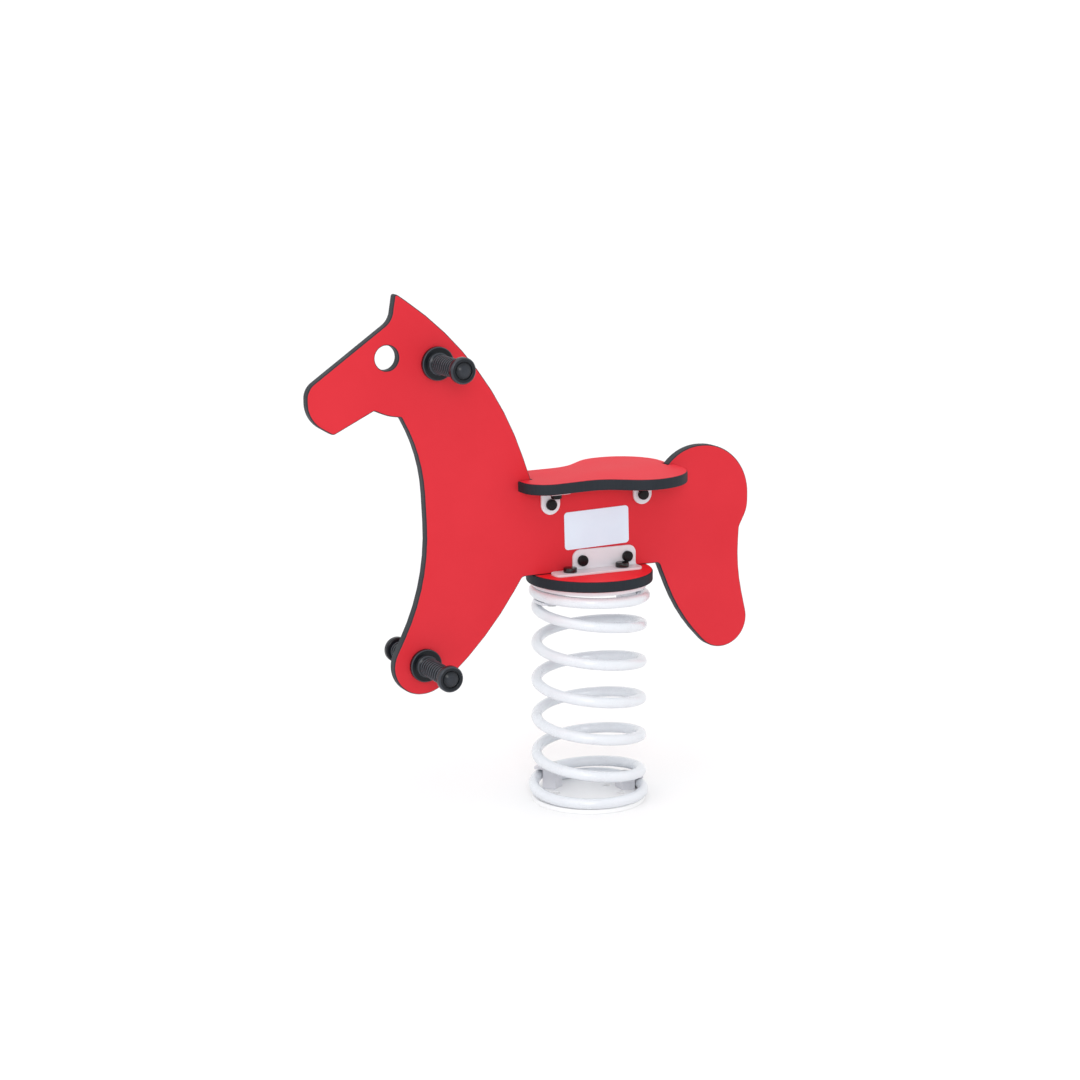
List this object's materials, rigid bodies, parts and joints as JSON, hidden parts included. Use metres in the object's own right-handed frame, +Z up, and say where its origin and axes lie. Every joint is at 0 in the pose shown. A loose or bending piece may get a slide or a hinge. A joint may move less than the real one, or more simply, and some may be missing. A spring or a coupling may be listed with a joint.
{
  "type": "playground spring rider",
  "caption": "Playground spring rider: a horse cut from thick two-colour plastic sheet with seat, hand pegs and foot pegs, rocking on one upright steel coil spring.",
  "frame": {"origin": "centre of the bolt pattern in the underside of the disc on the ground, on the spring axis", "axes": "+Z up along the spring axis; -X the way the horse faces; -Y its left side, shown in the picture"},
  "size_m": [0.8221, 0.243, 0.8957],
  "materials": {
    "painted_steel": "white powder coat, satin",
    "painted_spring": "white powder coat, semi-gloss",
    "red_sheet": "fine-grained sheet, red skins on a charcoal core",
    "black_cap": "gloss",
    "peg_plastic": "satin moulding",
    "zinc_steel": "zinc plated",
    "brass_insert": "turned"
  },
  "bodies": {
    "foot": {"base_disc": "painted_steel", "foot_clip_left": "painted_steel", "foot_clip_right": "painted_steel", "foot_clip_bolts": "zinc_steel"},
    "spring": {"spring": "painted_spring"},
    "rider": {"top_disc": "painted_steel", "top_clip_front": "painted_steel", "top_clip_rear": "painted_steel", "top_clip_bolts": "zinc_steel", "deck_plate": "red_sheet", "deck_bolts": "zinc_steel", "deck_nuts": "zinc_steel", "deck_caps": "black_cap", "belly_bracket_left": "painted_steel", "belly_bracket_right": "painted_steel", "belly_bolts": "zinc_steel", "belly_nuts": "zinc_steel", "belly_caps": "black_cap", "horse_panel": "red_sheet", "seat_plate": "red_sheet", "seat_bracket_front_left": "painted_steel", "seat_bracket_front_right": "painted_steel", "seat_bracket_rear_left": "painted_steel", "seat_bracket_rear_right": "painted_steel", "seat_cross_bolts": "zinc_steel", "seat_cross_nuts": "zinc_steel", "seat_cross_caps": "black_cap", "seat_inserts": "brass_insert", "seat_screws": "zinc_steel", "seat_screw_caps": "black_cap", "handle_rod": "zinc_steel", "handle_grip_left": "peg_plastic", "handle_grip_right": "peg_plastic", "handle_nuts": "zinc_steel", "handle_plug_left": "peg_plastic", "handle_plug_right": "peg_plastic", "footrest_rod": "zinc_steel", "footrest_grip_left": "peg_plastic", "footrest_grip_right": "peg_plastic", "footrest_nuts": "zinc_steel", "footrest_plug_left": "peg_plastic", "footrest_plug_right": "peg_plastic"}
  },
  "joints": [
    {"name": "rock_fore_aft", "type": "hinge", "parent": "foot", "child": "spring", "pos_m": [0, 0, 0.1], "axis": [0, 1, 0], "range_deg": [-22, 22], "stiffness_Nm_per_rad": 350, "deforming": ["spring"]},
    {"name": "rock_sideways", "type": "hinge", "parent": "spring", "child": "rider", "pos_m": [0, 0, 0.285], "axis": [1, 0, 0], "range_deg": [-15, 15], "stiffness_Nm_per_rad": 350, "deforming": ["spring"]}
  ]
}
